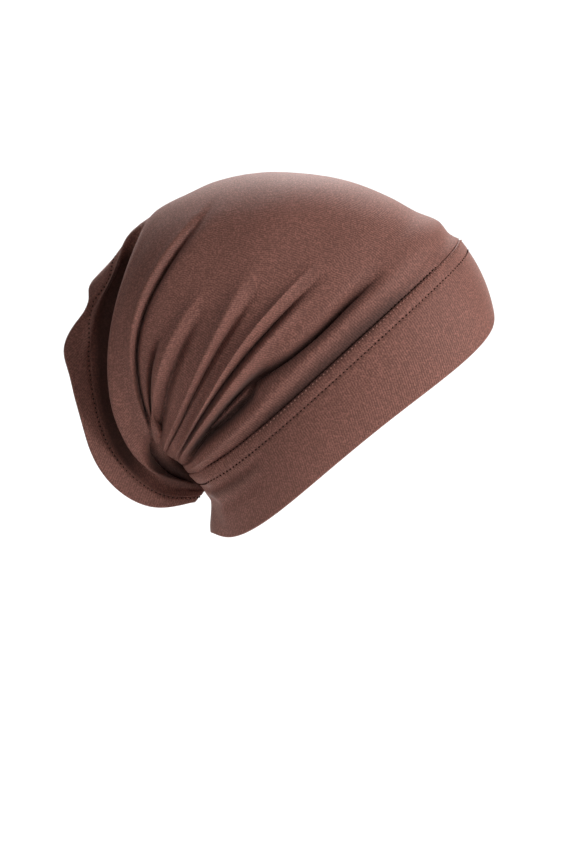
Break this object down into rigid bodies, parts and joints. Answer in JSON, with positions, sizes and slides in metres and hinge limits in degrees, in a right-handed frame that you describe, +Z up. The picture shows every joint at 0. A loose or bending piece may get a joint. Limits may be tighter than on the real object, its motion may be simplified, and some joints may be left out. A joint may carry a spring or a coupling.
{
  "type": "hijab underscarf cap",
  "caption": "Stretch jersey underscarf cap in its worn form: wide forehead band, crown gathered at the nape, open hemmed tail.",
  "frame": {"origin": "middle of the head opening, halfway between its brow and nape points", "axes": "+X towards the brow (front), +Y towards the wearer's left, +Z up; the cap is in its worn pose"},
  "size_m": [0.2822, 0.1626, 0.2404],
  "materials": {
    "jersey": "matt, soft sheen, fine knitted ribs",
    "thread": "matt sewing thread in the cloth's colour"
  },
  "bodies": {
    "root": {"front_band": "jersey", "seam_allowance": "jersey", "crown": "jersey", "back_hem": "jersey"}
  },
  "joints": []
}
